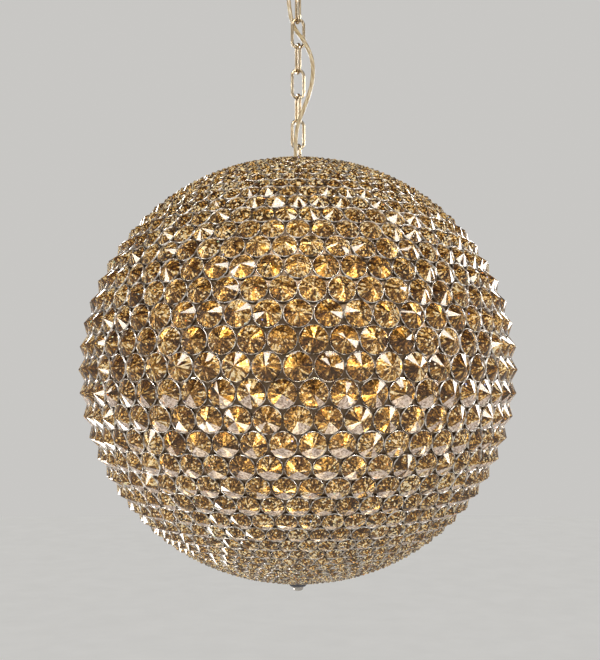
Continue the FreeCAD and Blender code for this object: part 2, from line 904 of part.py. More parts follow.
def rounded_path(points):
    """Straight runs joined by tangent arcs, each as large as its two runs allow."""
    edges = []
    radii = []
    start = points[0]
    for before, at, after in zip(points, points[1:], points[2:]):
        back, ahead = before - at, after - at
        shorter = min(back.Length, ahead.Length)
        back.normalize()
        ahead.normalize()
        turn = math.pi - back.getAngle(ahead)
        trim = BEND_SHARE * shorter
        radius = trim / math.tan(turn / 2)
        bisector = (back + ahead).normalize()
        middle = at + bisector * (radius / math.cos(turn / 2) - radius)
        entry, leave = at + back * trim, at + ahead * trim
        edges.append(Part.LineSegment(start, entry).toShape())
        edges.append(Part.Arc(entry, middle, leave).toShape())
        radii.append(radius)
        start = leave
    edges.append(Part.LineSegment(start, points[-1]).toShape())
    least = LEAST_BEND_DIAMETERS * SIZES["flex_diameter"]
    print("flex radii in mm:", [round(radius) for radius in radii], "least allowed", least)
    return Part.Wire(edges)


def flex():
    """The round flex as one tube."""
    radius = size["flex_diameter"].number / 2
    path = rounded_path(flex_route())
    start = path.Edges[0]
    along = start.tangentAt(start.FirstParameter)
    section = Part.Wire(Part.Circle(start.valueAt(start.FirstParameter), along, radius).toShape())
    tube = path.makePipeShell([section], True, False)
    told = math.pi * radius**2 * path.Length
    print(f"flex length {path.Length:.1f} mm, volume {tube.Volume:.0f} of {told:.0f} mm3")
    made = doc.addObject("Part::Feature", "Flex")
    made.Shape = tube
    named(made, "supply_flex")


ceiling_fitting()
bush(
    "CanopyBush",
    size["canopy_inlet_x"],
    size["canopy_inlet_y"],
    size["canopy_wall"],
    canopy_floor,
    "canopy_bush",
)
doc.getObject("CanopyBush").Placement.Rotation = half_turn()
chain()
globe_loop()
globe_frames()
inlet_radius = root(
    size["globe_inlet_x"] * size["globe_inlet_x"] + size["globe_inlet_y"] * size["globe_inlet_y"]
)
high_side = inlet_radius - size["bush_flange_radius"]
globe_seat = globe_middle + root(cap_radius * cap_radius - high_side * high_side)
bush(
    "GlobeBush",
    size["globe_inlet_x"],
    size["globe_inlet_y"],
    size["cap_wall"],
    globe_seat,
    "globe_bush",
)
stem()
block = terminal_block(
    "GlobeBlock",
    size["globe_inlet_x"],
    -size["stem_radius"] - size["turned_fit"] - size["block_depth"] / 2,
)
place(block, z=globe_middle + cap_radius - size["globe_block_drop"] - size["block_height"])
named(block, "globe_terminal_block")
lamp_tier(
    "upper",
    size["upper_tier_height"],
    size["side_tier_arm"],
    size["side_tier_count"],
    size["upper_tier_angle"],
)
lamp_tier(
    "middle",
    -size["middle_tier_drop"],
    size["middle_tier_arm"],
    size["middle_tier_count"],
    size["middle_tier_angle"],
)
lamp_tier(
    "lower",
    -size["lower_tier_drop"],
    size["side_tier_arm"],
    size["side_tier_count"],
    size["lower_tier_angle"],
)
crystal_bands(UPPER, 0)
crystal_bands(LOWER, 1)
finial()
flex()

doc.recompute()
bad = [thing.Label for thing in doc.Objects if {"Invalid", "Error"} & set(thing.State)]
if bad:
    raise SystemExit(f"failed: {bad}")
for thing in nodes:
    if thing.Shape.isNull() or not thing.Shape.isValid():
        raise SystemExit(f"{thing.Label} is not a valid shape")

os.makedirs("parts", exist_ok=True)
for thing in nodes:
    thing.Shape.exportStep(f"parts/{thing.Label}.step")
print(len(nodes), "nodes,", sum(len(thing.Shape.Solids) for thing in nodes), "solids")
print("globe middle at", round(number(globe_middle), 2), "rows to", last_row())
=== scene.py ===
# %% [markdown]
# # A crystal ball pendant light
#
# The light is a globe of some 2,400 cone-cut crystals. Each sits in a thin ring, the rings are
# soldered side by side, and the globe hangs on a gold chain with a flex laced along it. The solid
# parts come from the packed model and keep their places. This lesson makes what the eye sees: the
# cut glass, the rings, the flex, the lamps, and the finish of every metal and plastic part.

# %% Load the packed model
import math

import bpy
import numpy as np
from mathutils import Matrix, Vector


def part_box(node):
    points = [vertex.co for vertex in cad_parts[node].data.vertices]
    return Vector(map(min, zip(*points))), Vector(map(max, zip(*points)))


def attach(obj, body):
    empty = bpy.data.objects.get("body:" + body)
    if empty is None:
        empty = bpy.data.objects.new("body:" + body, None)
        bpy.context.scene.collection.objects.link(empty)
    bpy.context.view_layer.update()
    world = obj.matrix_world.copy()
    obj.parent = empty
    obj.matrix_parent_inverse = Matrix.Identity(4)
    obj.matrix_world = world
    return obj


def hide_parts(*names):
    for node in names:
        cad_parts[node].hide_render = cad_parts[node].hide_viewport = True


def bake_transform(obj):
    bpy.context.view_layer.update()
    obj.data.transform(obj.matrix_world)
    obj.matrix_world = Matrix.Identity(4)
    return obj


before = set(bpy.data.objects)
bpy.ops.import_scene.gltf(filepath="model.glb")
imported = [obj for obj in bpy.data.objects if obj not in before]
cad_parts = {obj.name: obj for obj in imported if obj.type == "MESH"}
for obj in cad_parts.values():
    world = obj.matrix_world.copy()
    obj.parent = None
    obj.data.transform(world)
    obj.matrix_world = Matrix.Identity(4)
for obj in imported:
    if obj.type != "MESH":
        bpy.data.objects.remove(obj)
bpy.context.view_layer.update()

scene = bpy.context.scene
print("nodes in the frame:", len(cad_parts))

# %% [markdown]
# ## The sizes that the pieces share
#
# Everything follows from the circle of crystals at the equator: 52 of them at a pitch of 30.2 mm
# go round a globe 500 mm across. The rows above and below keep that count, so the crystals shrink
# with the cosine of the latitude. Rows that step evenly on a Mercator map stay closely packed. The
# step is 0.866 of a pitch, as in a honeycomb.

# %% Sizes and places
GLOBE_RADIUS = 0.250
CRYSTALS_IN_ROW = 52
HONEYCOMB = 0.866
ROW_STEP = HONEYCOMB * 2 * math.pi / CRYSTALS_IN_ROW
LAST_ROW = 23
CRYSTAL_FILL = 0.97
CRYSTAL_RISE = 0.52
FACETS = 12
BANDS = 6
UPPER_TIER = 0.150

hub_low, hub_high = (Vector(corner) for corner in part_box("upper_hub"))
GLOBE = Vector((0, 0, (hub_low.z + hub_high.z) / 2 - UPPER_TIER))
print("middle of the globe:", [round(x, 4) for x in GLOBE])


def latitude_of(row):
    """The latitude of a row, counted from 0 at the equator."""
    return math.asin(math.tanh(row * ROW_STEP))


def girdle_radius(row):
    """Half the pitch of the row, less a little for the ring between two crystals."""
    return GLOBE_RADIUS * math.pi / CRYSTALS_IN_ROW * math.cos(latitude_of(row)) * CRYSTAL_FILL


# %% [markdown]
# ## The camera
#
# The globe's outline, and how fast the crystals shrink towards it, fix the camera: five globe
# radii away and about a degree below the middle. The photograph has the globe a little low in its
# frame, which the lens shift gives without tilting the view.

# %% Camera
CAMERA_DISTANCE = 5 * GLOBE_RADIUS
CAMERA_ELEVATION = math.radians(-0.9)
PHOTO_WIDTH, PHOTO_HEIGHT = 600, 660
GLOBE_PIXEL_X, GLOBE_PIXEL_Y = 298, 370.5
FOCAL_PIXELS = 1043.5
SENSOR_MM = 36

camera_data = bpy.data.cameras.new("Camera")
camera_data.sensor_fit = "AUTO"
camera_data.sensor_width = SENSOR_MM
camera_data.lens = FOCAL_PIXELS * SENSOR_MM / PHOTO_HEIGHT
camera_data.shift_x = (PHOTO_WIDTH / 2 - GLOBE_PIXEL_X) / PHOTO_HEIGHT
camera_data.shift_y = (GLOBE_PIXEL_Y - PHOTO_HEIGHT / 2) / PHOTO_HEIGHT
camera_data.clip_start = 0.01
camera_data.clip_end = 50
camera = bpy.data.objects.new("Camera", camera_data)
scene.collection.objects.link(camera)
backwards = Vector((0, -math.cos(CAMERA_ELEVATION), math.sin(CAMERA_ELEVATION)))
camera.location = GLOBE + backwards * CAMERA_DISTANCE
camera.rotation_euler = (-backwards).to_track_quat("-Z", "Y").to_euler()
scene.camera = camera
print("lens:", round(camera_data.lens, 2), "mm")

# %% [markdown]
# ## Small helpers
#
# Operators work on whatever is selected, and a new primitive is selected all over. So each piece
# starts with nothing selected, and faces are then picked by their place or normal.


# %% Selecting
def deselect():
    """Select nothing and leave edit mode."""
    if bpy.context.mode != "OBJECT":
        bpy.ops.object.mode_set(mode="OBJECT")
    bpy.ops.object.select_all(action="DESELECT")


def only(obj):
    """Select one object and make it active."""
    deselect()
    obj.select_set(True)
    bpy.context.view_layer.objects.active = obj


def started(name):
    """Name the primitive that was just added."""
    obj = bpy.context.object
    obj.name = obj.data.name = name
    return obj


def pick_faces(obj, test):
    """In edit mode, select just the faces whose middle and normal pass a test."""
    bpy.ops.object.mode_set(mode="OBJECT")
    mesh = obj.data
    for group in (mesh.vertices, mesh.edges, mesh.polygons):
        group.foreach_set("select", np.zeros(len(group), bool))
    for face in mesh.polygons:
        face.select = test(face.center, face.normal)
    bpy.ops.object.mode_set(mode="EDIT")
    bpy.ops.mesh.select_mode(type="FACE")


print("selected after loading:", len(bpy.context.selected_objects), "objects")

# %% [markdown]
# ## Finishing a piece
#
# A finished piece sits at the origin with its place in its mesh, rides on one of the model's
# bodies, and may stand for solids of the model. Solids that are shown as they are only get a finish.


# %% Finishing a piece
def settle(obj):
    """Put an object's place into its mesh."""
    only(obj)
    bpy.ops.object.transform_apply(location=True, rotation=True, scale=True)
    return obj


def join_as(objects, name):
    """Join pieces into one mesh with a new name."""
    deselect()
    for obj in objects:
        obj.select_set(True)
    bpy.context.view_layer.objects.active = objects[0]
    bpy.ops.object.join()
    return started(name)


def hand_over(obj, material, body, *nodes):
    """Give a finished piece its material and its body, and let it stand for CAD nodes."""
    obj.data.materials.clear()
    obj.data.materials.append(material)
    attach(obj, body)
    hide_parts(*nodes)


def dress(material, *names):
    """Give CAD nodes a material."""
    for name in names:
        mesh = bpy.data.objects[name].data
        mesh.materials.clear()
        mesh.materials.append(material)


# %% [markdown]
# ## Building blocks for materials
#
# A material is a small graph of nodes. Written out, each link takes a line of its own, so `Nodes`
# keeps the wiring short: it adds a node with its settings and connects what is passed in. The nodes
# that come up most have calls of their own.


# %% Node helpers
class Nodes:
    """A node tree with short calls to add nodes and wire them."""

    def __init__(self, tree):
        self.tree = tree

    def add(self, kind, settings=None, **inputs):
        """A node with its settings, and with a value or a link for each input that is named."""
        node = self.tree.nodes.new(kind)
        for key, value in (settings or {}).items():
            setattr(node, key, value)
        for key, value in inputs.items():
            self.wire(value, node.inputs[key.replace("_", " ")])
        return node

    def wire(self, value, socket):
        """Link a socket to an input, or set a plain value on it."""
        if isinstance(value, bpy.types.NodeSocket):
            self.tree.links.new(value, socket)
        else:
            socket.default_value = value

    def maths(self, operation, *values, kind="ShaderNodeMath"):
        """One Math node on numbers or sockets."""
        node = self.add(kind, {"operation": operation})
        for value, socket in zip(values, node.inputs):
            self.wire(value, socket)
        return next(x for x in node.outputs if x.enabled)

    def vector(self, operation, *values):
        """One Vector Math node on vectors or sockets."""
        return self.maths(operation, *values, kind="ShaderNodeVectorMath")

    def place(self):
        """Where a point lies on the piece, in metres."""
        return self.add("ShaderNodeTexCoord").outputs["Object"]

    def attribute(self, name):
        """A number that the mesh carries on each face."""
        return self.add("ShaderNodeAttribute", {"attribute_name": name}).outputs["Fac"]

    def noise(self, coords, scale, detail=2.0):
        """Soft noise between 0 and 1."""
        return self.add("ShaderNodeTexNoise", Vector=coords, Scale=scale, Detail=detail).outputs["Fac"]

    def ranged(self, value, low, high, to_low=0.0, to_high=1.0, **settings):
        """A number moved from one range into another, and held inside it."""
        ends = {"From_Min": low, "From_Max": high, "To_Min": to_low, "To_Max": to_high}
        return self.add("ShaderNodeMapRange", settings, Value=value, **ends).outputs["Result"]

    def mixed(self, factor, first, second):
        """The first number or colour, moved by a share towards the second."""
        colours = isinstance(second, tuple) or getattr(second, "type", "") == "RGBA"
        node = self.add("ShaderNodeMix", {"data_type": "RGBA" if colours else "FLOAT"})
        a, b = [x for x in node.inputs if x.enabled and x.name in "AB"]
        self.wire(factor, node.inputs["Factor"])
        self.wire(first, a)
        self.wire(second, b)
        return next(x for x in node.outputs if x.enabled)

    def ramp(self, factor, stops):
        """A colour ramp through (position, colour) stops."""
        node = self.add("ShaderNodeValToRGB", Fac=factor)
        elements = node.color_ramp.elements
        while len(elements) < len(stops):
            elements.new(0.5)
        for element, (position, colour) in zip(elements, stops):
            element.position = position
            element.color = (*colour, 1)
        return node.outputs["Color"]


print("short calls:", [name for name in vars(Nodes) if not name.startswith("_")])

# %% [markdown]
# ## Starting a material or a group
#
# Every finish starts from the Principled shader, and what stays the same all over goes on its own
# sockets. An effect that several finishes share is a node group: it has named inputs and gives out
# values only, while the shader stays in the material.


# %% New materials and groups
def new_material(name, **settings):
    """A Principled material; the settings go on the shader's own sockets."""
    material = bpy.data.materials.new(name)
    material.use_nodes = True
    nodes = Nodes(material.node_tree)
    shader = material.node_tree.nodes["Principled BSDF"]
    for key, value in settings.items():
        shader.inputs[key.replace("_", " ")].default_value = value
    return material, nodes, shader


def new_group(name, inputs, outputs):
    """A shader node group with float inputs and outputs."""
    tree = bpy.data.node_groups.new(name, "ShaderNodeTree")
    for label, value in inputs.items():
        socket = tree.interface.new_socket(label, in_out="INPUT", socket_type="NodeSocketFloat")
        socket.default_value = value
    for label in outputs:
        tree.interface.new_socket(label, in_out="OUTPUT", socket_type="NodeSocketFloat")
    nodes = Nodes(tree)
    return tree, nodes, nodes.add("NodeGroupInput"), nodes.add("NodeGroupOutput")


print("materials so far:", len(bpy.data.materials))

# %% [markdown]
# ## A shared polish
#
# Nothing that is polished by hand is equally bright all over. The roughness drifts in soft clouds,
# and fine marks of handling stand on the surface.

# %% The polish
FINE_TO_CLOUDS = 9
MARK_HEIGHT = 0.0002


def polish_group():
    """Roughness between two values in soft clouds, and a height of fine handling marks.

    Streak is how much slower the pattern runs upwards: 1 gives dots, and less gives drawn-out lines.
    """
    tree, nodes, given, result = new_group(
        "Polish", {"Scale": 60, "Low": 0.1, "High": 0.3, "Streak": 1.0}, ("Roughness", "Marks")
    )
    stretch = nodes.add("ShaderNodeCombineXYZ", X=1.0, Y=1.0, Z=given.outputs["Streak"])
    coords = nodes.vector("MULTIPLY", nodes.place(), stretch.outputs[0])
    clouds = nodes.noise(coords, given.outputs["Scale"], 4.0)
    spread = nodes.ranged(clouds, 0.3, 0.7, given.outputs["Low"], given.outputs["High"])
    fine = nodes.maths("MULTIPLY", given.outputs["Scale"], FINE_TO_CLOUDS)
    nodes.wire(spread, result.inputs["Roughness"])
    nodes.wire(nodes.noise(coords, fine), result.inputs["Marks"])
    return tree


POLISH = polish_group()


def polished(nodes, shader, scale, low, high, relief, streak=1.0):
    """Place the shared polish in a material: its roughness, and its marks as a slight bump."""
    values = {"Scale": scale, "Low": low, "High": high, "Streak": streak}
    node = nodes.add("ShaderNodeGroup", {"node_tree": POLISH}, **values)
    marks = node.outputs["Marks"]
    bump = nodes.add("ShaderNodeBump", Strength=relief, Distance=MARK_HEIGHT, Height=marks)
    nodes.wire(node.outputs["Roughness"], shader.inputs["Roughness"])
    nodes.wire(bump.outputs["Normal"], shader.inputs["Normal"])
    return node


print("shared groups:", [group.name for group in bpy.data.node_groups])

# %% [markdown]
# ## Metals
#
# Gold plate, bronze, chrome and zinc are all the same recipe with other colours: a metallic shader
# whose roughness drifts a little, so that a highlight breaks up as it does on a real hand-polished
# part. Links are polished along their length, so the gold's pattern is drawn out into streaks, and
# its dark streaks are painted reflections as well as polish marks.

# %% Metal finishes
METAL_RELIEF = 0.15


def metal(name, colour, dark, scale, low, high, streak=1.0):
    """A metal that darkens in its fine marks, with a roughness between low and high."""
    material, nodes, shader = new_material(name, Metallic=1.0)
    node = polished(nodes, shader, scale, low, high, METAL_RELIEF, streak)
    tint = nodes.ramp(node.outputs["Marks"], [(0.35, dark), (0.6, colour)])
    nodes.wire(tint, shader.inputs["Base Color"])
    return material


# The gold's dark streaks are partly polish marks and partly painted reflections of dark surroundings.
GOLD = metal("Polished_gold", (0.80, 0.66, 0.46), (0.30, 0.20, 0.10), 90, 0.08, 0.20, streak=0.07)
CANOPY_GOLD = metal("Brushed_canopy_gold", (0.80, 0.58, 0.29), (0.66, 0.45, 0.20), 30, 0.16, 0.30)
DARK_CHROME = metal("Dark_chrome", (0.17, 0.17, 0.18), (0.08, 0.08, 0.09), 120, 0.08, 0.20)
CHROME = metal("Polished_chrome", (0.62, 0.58, 0.53), (0.24, 0.21, 0.18), 120, 0.12, 0.30)
BRONZE = metal("Satin_bronze", (0.30, 0.20, 0.10), (0.18, 0.11, 0.05), 50, 0.25, 0.40)
ZINC = metal("Zinc_plate", (0.60, 0.61, 0.62), (0.42, 0.43, 0.44), 40, 0.30, 0.50)
metals = (GOLD, CANOPY_GOLD, DARK_CHROME, CHROME, BRONZE, ZINC)
print("metals:", [finish.name for finish in metals])

# %% [markdown]
# ## The bezels' chrome
#
# Only the burnished lips of the rings are bright, and patches of tarnish break up even those.
# Between the rings and inside the globe the strip is painted dark brown for shade, so the colour
# follows the distance from the globe's middle.

# %% Bezel chrome
# Below this distance from the middle the strip takes a painted shade.
PAINTED_SHADE_RADIUS = 0.2492
BRIGHT_RADIUS = 0.2501
TARNISH_SCALE = 190.0
PAINTED_SHADE = (0.170, 0.115, 0.070, 1)


def bezel_material():
    """Chrome with patches of tarnish, and painted shade in dark brown below the lips of the rings."""
    material, nodes, shader = new_material("Bezel_chrome", Metallic=1.0)
    polished(nodes, shader, 120, 0.20, 0.36, METAL_RELIEF)
    coords = nodes.place()
    bright = nodes.ramp(
        nodes.noise(coords, TARNISH_SCALE, 3.0),
        [(0.38, (0.16, 0.11, 0.07)), (0.46, (0.40, 0.34, 0.28)), (0.56, (0.84, 0.80, 0.74))],
    )
    # Below the lips the colour is the painted shade.
    radius = nodes.vector("DISTANCE", coords, tuple(GLOBE))
    outer = nodes.ranged(radius, PAINTED_SHADE_RADIUS, BRIGHT_RADIUS)
    nodes.wire(nodes.mixed(outer, PAINTED_SHADE, bright), shader.inputs["Base Color"])
    return material


BEZEL_CHROME = bezel_material()
print("bezels bright from", BRIGHT_RADIUS, "m off the globe's middle")

# %% [markdown]
# ## Plastics and ceramic
#
# The bushes and terminal blocks are moulded plastic, and the lampholders are glazed ceramic: a soft
# speckle in the colour and a slight grain are enough for both.

# %% Plastic and ceramic finishes
MOULDED_RELIEF = 0.1


def moulded(name, colour, dark, scale, low, high, **settings):
    """A moulded or glazed finish that wavers between two colours."""
    material, nodes, shader = new_material(name, **settings)
    node = polished(nodes, shader, scale, low, high, MOULDED_RELIEF)
    tint = nodes.ramp(node.outputs["Marks"], [(0.3, dark), (0.65, colour)])
    nodes.wire(tint, shader.inputs["Base Color"])
    return material


BUSH_PLASTIC = moulded("Bush_plastic", (0.72, 0.66, 0.53), (0.62, 0.56, 0.43), 80, 0.35, 0.5)
TERMINAL_PLASTIC = moulded("Terminal_plastic", (0.84, 0.83, 0.79), (0.76, 0.75, 0.71), 70, 0.4, 0.55)
CERAMIC = moulded(
    "White_ceramic", (0.86, 0.84, 0.79), (0.78, 0.75, 0.69), 60, 0.15, 0.3, Coat_Weight=0.4
)
print("moulded and glazed:", [finish.name for finish in (BUSH_PLASTIC, TERMINAL_PLASTIC, CERAMIC)])

# %% [markdown]
# ## Glass of the lamps
#
# The capsule lamps lie like the spokes of a wheel, with a dark pinched base at the hub's end. The
# material of a tier measures how far out along its spoke a point lies, and lights what is past that.

# %% Lit capsules
LAMP_STRENGTH = 50.0
LAMP_BASE_SHARE = 0.27
LAMP_FULL_FROM, LAMP_FULL_TO = 0.40, 0.88
LAMP_END_LEVEL = 0.5


def lamp_material(tier):
    """The lamps of a tier: a dark pinched base, then lit glass, brightest half way."""
    points = [vertex.co.xy.length for vertex in bpy.data.objects[f"{tier}_lamps"].data.vertices]
    inner, outer = min(points), max(points)
    material, nodes, shader = new_material(
        f"Lit_capsules_{tier}", Roughness=0.1, Emission_Strength=LAMP_STRENGTH
    )
    coords = nodes.place()
    warm = nodes.ramp(
        nodes.noise(coords, 120.0), [(0.35, (1.0, 0.83, 0.54)), (0.65, (1.0, 0.92, 0.70))]
    )
    spoke = nodes.vector("LENGTH", nodes.vector("MULTIPLY", coords, (1, 1, 0)))
    lit = nodes.ramp(
        nodes.ranged(spoke, inner, outer),
        [
            (LAMP_BASE_SHARE - 0.01, (0.0, 0.0, 0.0)),
            (LAMP_BASE_SHARE, (0.45, 0.45, 0.45)),
            (LAMP_FULL_FROM, (1.0, 1.0, 1.0)),
            (LAMP_FULL_TO, (1.0, 1.0, 1.0)),
            (1.00, (LAMP_END_LEVEL,) * 3),
        ],
    )
    nodes.wire(nodes.mixed(lit, (0, 0, 0, 1), warm), shader.inputs["Emission Color"])
    nodes.wire(nodes.mixed(lit, (0.30, 0.29, 0.27, 1), warm), shader.inputs["Base Color"])
    print("lamps of the", tier, "tier reach from", round(inner, 4), "to", round(outer, 4), "m")
    return material


print("lamp strength:", LAMP_STRENGTH)

# %% [markdown]
# ## Painted wedges and glints in cut glass
#
# Real amber crystal is dark and clear, and what one sees in it is broken: each facet shows another
# piece of the inside. So thin wedges of painted reflection run from the tip to the rim, and here and
# there a painted glint comes out in a colour of the rainbow. The stones' own UV map counts the facets
# round the stone along U and runs from tip to rim along V, so cells stretched along V make the wedges.

# %% Painted wedges and glints
WEDGES_PER_FACET = 4.0
WEDGES_TIP_TO_RIM = 2.6
SHARD_SCALE = 640.0
# The painted glints: their cells, their size and the share of cells that have one.
PAINTED_GLINT_SCALE = 170.0
PAINTED_GLINT_SIZE = 0.20
PAINTED_GLINT_CHANCE = 0.35
STONE_SPREAD = 97.0


def stone_wedges(nodes, stone):
    """A random tone for each thin wedge between tip and rim, different in every stone: a painted
    reflection.
    """
    where = nodes.add("ShaderNodeUVMap", {"uv_map": "Facets"}).outputs["UV"]
    parts = nodes.add("ShaderNodeSeparateXYZ", Vector=where)
    around = nodes.maths("MULTIPLY", parts.outputs["X"], WEDGES_PER_FACET)
    along = nodes.maths("MULTIPLY", parts.outputs["Y"], WEDGES_TIP_TO_RIM)
    own = nodes.maths("MULTIPLY", stone, STONE_SPREAD)
    place = nodes.add("ShaderNodeCombineXYZ", X=around, Y=along, Z=own)
    cells = nodes.add("ShaderNodeTexVoronoi", Vector=place.outputs[0], Scale=1.0, Randomness=0.9)
    return nodes.add("ShaderNodeSeparateColor", Color=cells.outputs["Color"]).outputs["Green"]


def painted_glints(nodes, coords):
    """Small round painted glints on a third of the cells: their mask, and a colour out of the rainbow.
    """
    cells = nodes.add("ShaderNodeTexVoronoi", Vector=coords, Scale=PAINTED_GLINT_SCALE, Randomness=1.0)
    near = nodes.ranged(cells.outputs["Distance"], PAINTED_GLINT_SIZE, PAINTED_GLINT_SIZE / 2)
    drawn = nodes.add("ShaderNodeSeparateColor", Color=cells.outputs["Color"])
    chosen = nodes.maths("LESS_THAN", drawn.outputs["Red"], PAINTED_GLINT_CHANCE)
    hue = nodes.ramp(
        drawn.outputs["Green"],
        [
            (0.00, (0.95, 0.22, 0.04)),
            (0.20, (1.00, 0.55, 0.12)),
            (0.50, (1.00, 0.84, 0.42)),
            (0.85, (1.00, 0.94, 0.78)),
            (0.93, (0.55, 0.80, 0.40)),
            (0.98, (0.42, 0.50, 0.98)),
        ],
    )
    return nodes.maths("MULTIPLY", near, chosen), hue


print("wedges to a stone:", FACETS * WEDGES_PER_FACET)

# %% [markdown]
# ## Cut amber crystal
#
# The tone jumps from dark brown to gold at the facets' edges, so every facet and every stone has a
# tone of its own, as attributes: painted reflections of the inside. Two more attributes say how
# shattered a stone looks, which is more so near the poles, and which facets take a painted
# reflection of the pale floor. A painted glow that follows the tone stands for light that has
# bounced about inside, though the crystals are no lamps. Part of the light goes through, and a high
# index gives the white flashes.

# %% Crystal glass
CRYSTAL_INDEX = 1.7
CRYSTAL_CLEARNESS = 0.44
# Strength of the crystals' painted glow.
PAINTED_INNER_GLOW = 0.30
BROKEN_SHARE, BROKEN_MORE = 0.58, 0.2
FACET_ROUGHNESS = 0.04


def crystal_material():
    """Amber glass whose tone, a painted reflection, changes with the facet, the stone and the wedge.
    """
    material, nodes, shader = new_material(
        "Amber_crystal",
        IOR=CRYSTAL_INDEX,
        Transmission_Weight=CRYSTAL_CLEARNESS,
        Specular_IOR_Level=0.42,
        Specular_Tint=(1.0, 0.90, 0.76, 1),
        Emission_Strength=PAINTED_INNER_GLOW,
    )
    coords = nodes.place()
    # The tones of facets, stones, wedges and shards together are painted reflections of the stone's
    # inside.
    shatter = nodes.attribute("shatter")
    shards = nodes.add("ShaderNodeTexVoronoi", Vector=coords, Scale=SHARD_SCALE, Randomness=1.0)
    shard = nodes.add("ShaderNodeSeparateColor", Color=shards.outputs["Color"]).outputs["Red"]
    broken = nodes.mixed(shatter, stone_wedges(nodes, nodes.attribute("stone_tone")), shard)
    share = nodes.maths("MULTIPLY_ADD", shatter, BROKEN_MORE, BROKEN_SHARE)
    level = nodes.mixed(share, nodes.attribute("facet_tone"), broken)
    tone = nodes.ramp(
        level,
        [
            (0.30, (0.012, 0.003, 0.000)),
            (0.43, (0.062, 0.018, 0.002)),
            (0.53, (0.160, 0.059, 0.004)),
            (0.61, (0.305, 0.150, 0.024)),
            (0.69, (0.490, 0.322, 0.110)),
            (0.78, (0.710, 0.600, 0.370)),
        ],
    )
    # A painted glow: the crystal is no lamp, but it emits a light that follows the tone.
    glow = nodes.ramp(
        level,
        [
            (0.43, (0.000, 0.000, 0.000)),
            (0.53, (0.060, 0.022, 0.002)),
            (0.62, (0.310, 0.148, 0.022)),
            (0.70, (0.820, 0.580, 0.220)),
            (0.78, (0.930, 0.840, 0.600)),
            (0.90, (0.000, 0.000, 0.000)),
        ],
    )
    # A pale painted reflection of the floor on the facets marked for it, in the colour and in the
    # glow.
    pale = nodes.ramp(
        shard,
        [(0.2, (0.26, 0.19, 0.15)), (0.5, (0.46, 0.37, 0.31)), (0.8, (0.62, 0.52, 0.45))],
    )
    frost = nodes.attribute("frost")
    tone = nodes.mixed(frost, tone, pale)
    glow = nodes.mixed(frost, glow, pale)
    # Painted glints: spots of rainbow colour, put into both the colour and the glow.
    painted_glint_mask, hue = painted_glints(nodes, coords)
    nodes.wire(nodes.mixed(painted_glint_mask, tone, hue), shader.inputs["Base Color"])
    nodes.wire(nodes.mixed(painted_glint_mask, glow, hue), shader.inputs["Emission Color"])
    rough = nodes.ranged(nodes.noise(coords, 260.0), 0.4, 0.7, 0.0, FACET_ROUGHNESS)
    nodes.wire(rough, shader.inputs["Roughness"])
    return material


CRYSTAL = crystal_material()
print("crystal finish:", CRYSTAL.name)

# %% [markdown]
# ## The backs of the crystals
#
# The flat back is clear but rough. Seen through the stone it spreads the light of the lamps, so
# that the globe glows warmest in the middle instead of showing the lamps as spots.

# %% Crystal backs
BACK_ROUGHNESS = 0.33


def crystal_back_material():
    """Clear glass, lightly tinted and rough."""
    material, nodes, shader = new_material(
        "Crystal_back", IOR=1.5, Transmission_Weight=1.0, Roughness=BACK_ROUGHNESS
    )
    clouds = nodes.noise(nodes.place(), 220.0)
    tint = nodes.ramp(clouds, [(0.3, (0.88, 0.74, 0.51)), (0.7, (0.97, 0.91, 0.76))])
    nodes.wire(tint, shader.inputs["Base Color"])
    return material


CRYSTAL_BACK = crystal_back_material()
print("behind it:", CRYSTAL_BACK.name)

# %% [markdown]
# ## One crystal
#
# On the real light this is a pointed stone: flat facets run from the girdle to the tip, and the
# back is cut off flat. A cone with one side to a facet is the natural start. Its base is extruded
# down for the girdle, and once more, drawn in, for the back. Extruding numbers the new faces in
# another order each time, so they are sorted by their distance from a point off to one side. A
# crystal is repeated thousands of times, so it has only a few dozen faces. The UV map is worked out
# here, while the stone still stands on its own axis.

# %% Model the crystal
GIRDLE_DEPTH = 0.1
BACK_DEPTH = 0.12
BACK_SHARE = 0.8
OFF_TO_ONE_SIDE = (3, 2, 1)


def map_facets(mesh):
    """U counts the facets round the stone, and V is the distance from its axis."""
    layer = mesh.uv_layers.new(name="Facets")
    for face in mesh.polygons:
        middle = math.atan2(face.center.y, face.center.x)
        for corner in face.loop_indices:
            point = mesh.vertices[mesh.loops[corner].vertex_index].co
            radius = math.hypot(point.x, point.y)
            angle = math.atan2(point.y, point.x) if radius > 0.01 else middle
            turn = (angle - middle + math.pi) % (2 * math.pi) - math.pi
            layer.data[corner].uv = ((middle + turn) * FACETS / (2 * math.pi), radius)


def model_crystal():
    """A crystal of girdle radius 1 on the XY plane, with its tip up."""
    deselect()
    bpy.ops.mesh.primitive_cone_add(
        vertices=FACETS,
        radius1=1,
        radius2=0,
        depth=CRYSTAL_RISE,
        location=(0, 0, CRYSTAL_RISE / 2),
        calc_uvs=False,
    )
    crystal = settle(started("Crystal"))
    pick_faces(crystal, lambda middle, normal: normal.z < -0.9)
    bpy.ops.mesh.extrude_region_move(TRANSFORM_OT_translate={"value": (0, 0, -GIRDLE_DEPTH)})
    bpy.ops.mesh.extrude_region_move(TRANSFORM_OT_translate={"value": (0, 0, -BACK_DEPTH)})
    bpy.ops.transform.resize(value=(BACK_SHARE, BACK_SHARE, 1))
    pick_faces(crystal, lambda middle, normal: middle.z < 0)
    scene.cursor.location = OFF_TO_ONE_SIDE
    bpy.ops.mesh.sort_elements(type="CURSOR_DISTANCE", elements={"FACE"})
    bpy.ops.object.mode_set(mode="OBJECT")
    map_facets(crystal.data)
    return crystal


crystal = model_crystal()
BACK_FACES = [face.index for face in crystal.data.polygons if face.center.z < 0]
print("faces of a crystal:", len(crystal.data.polygons), "of them behind:", len(BACK_FACES))

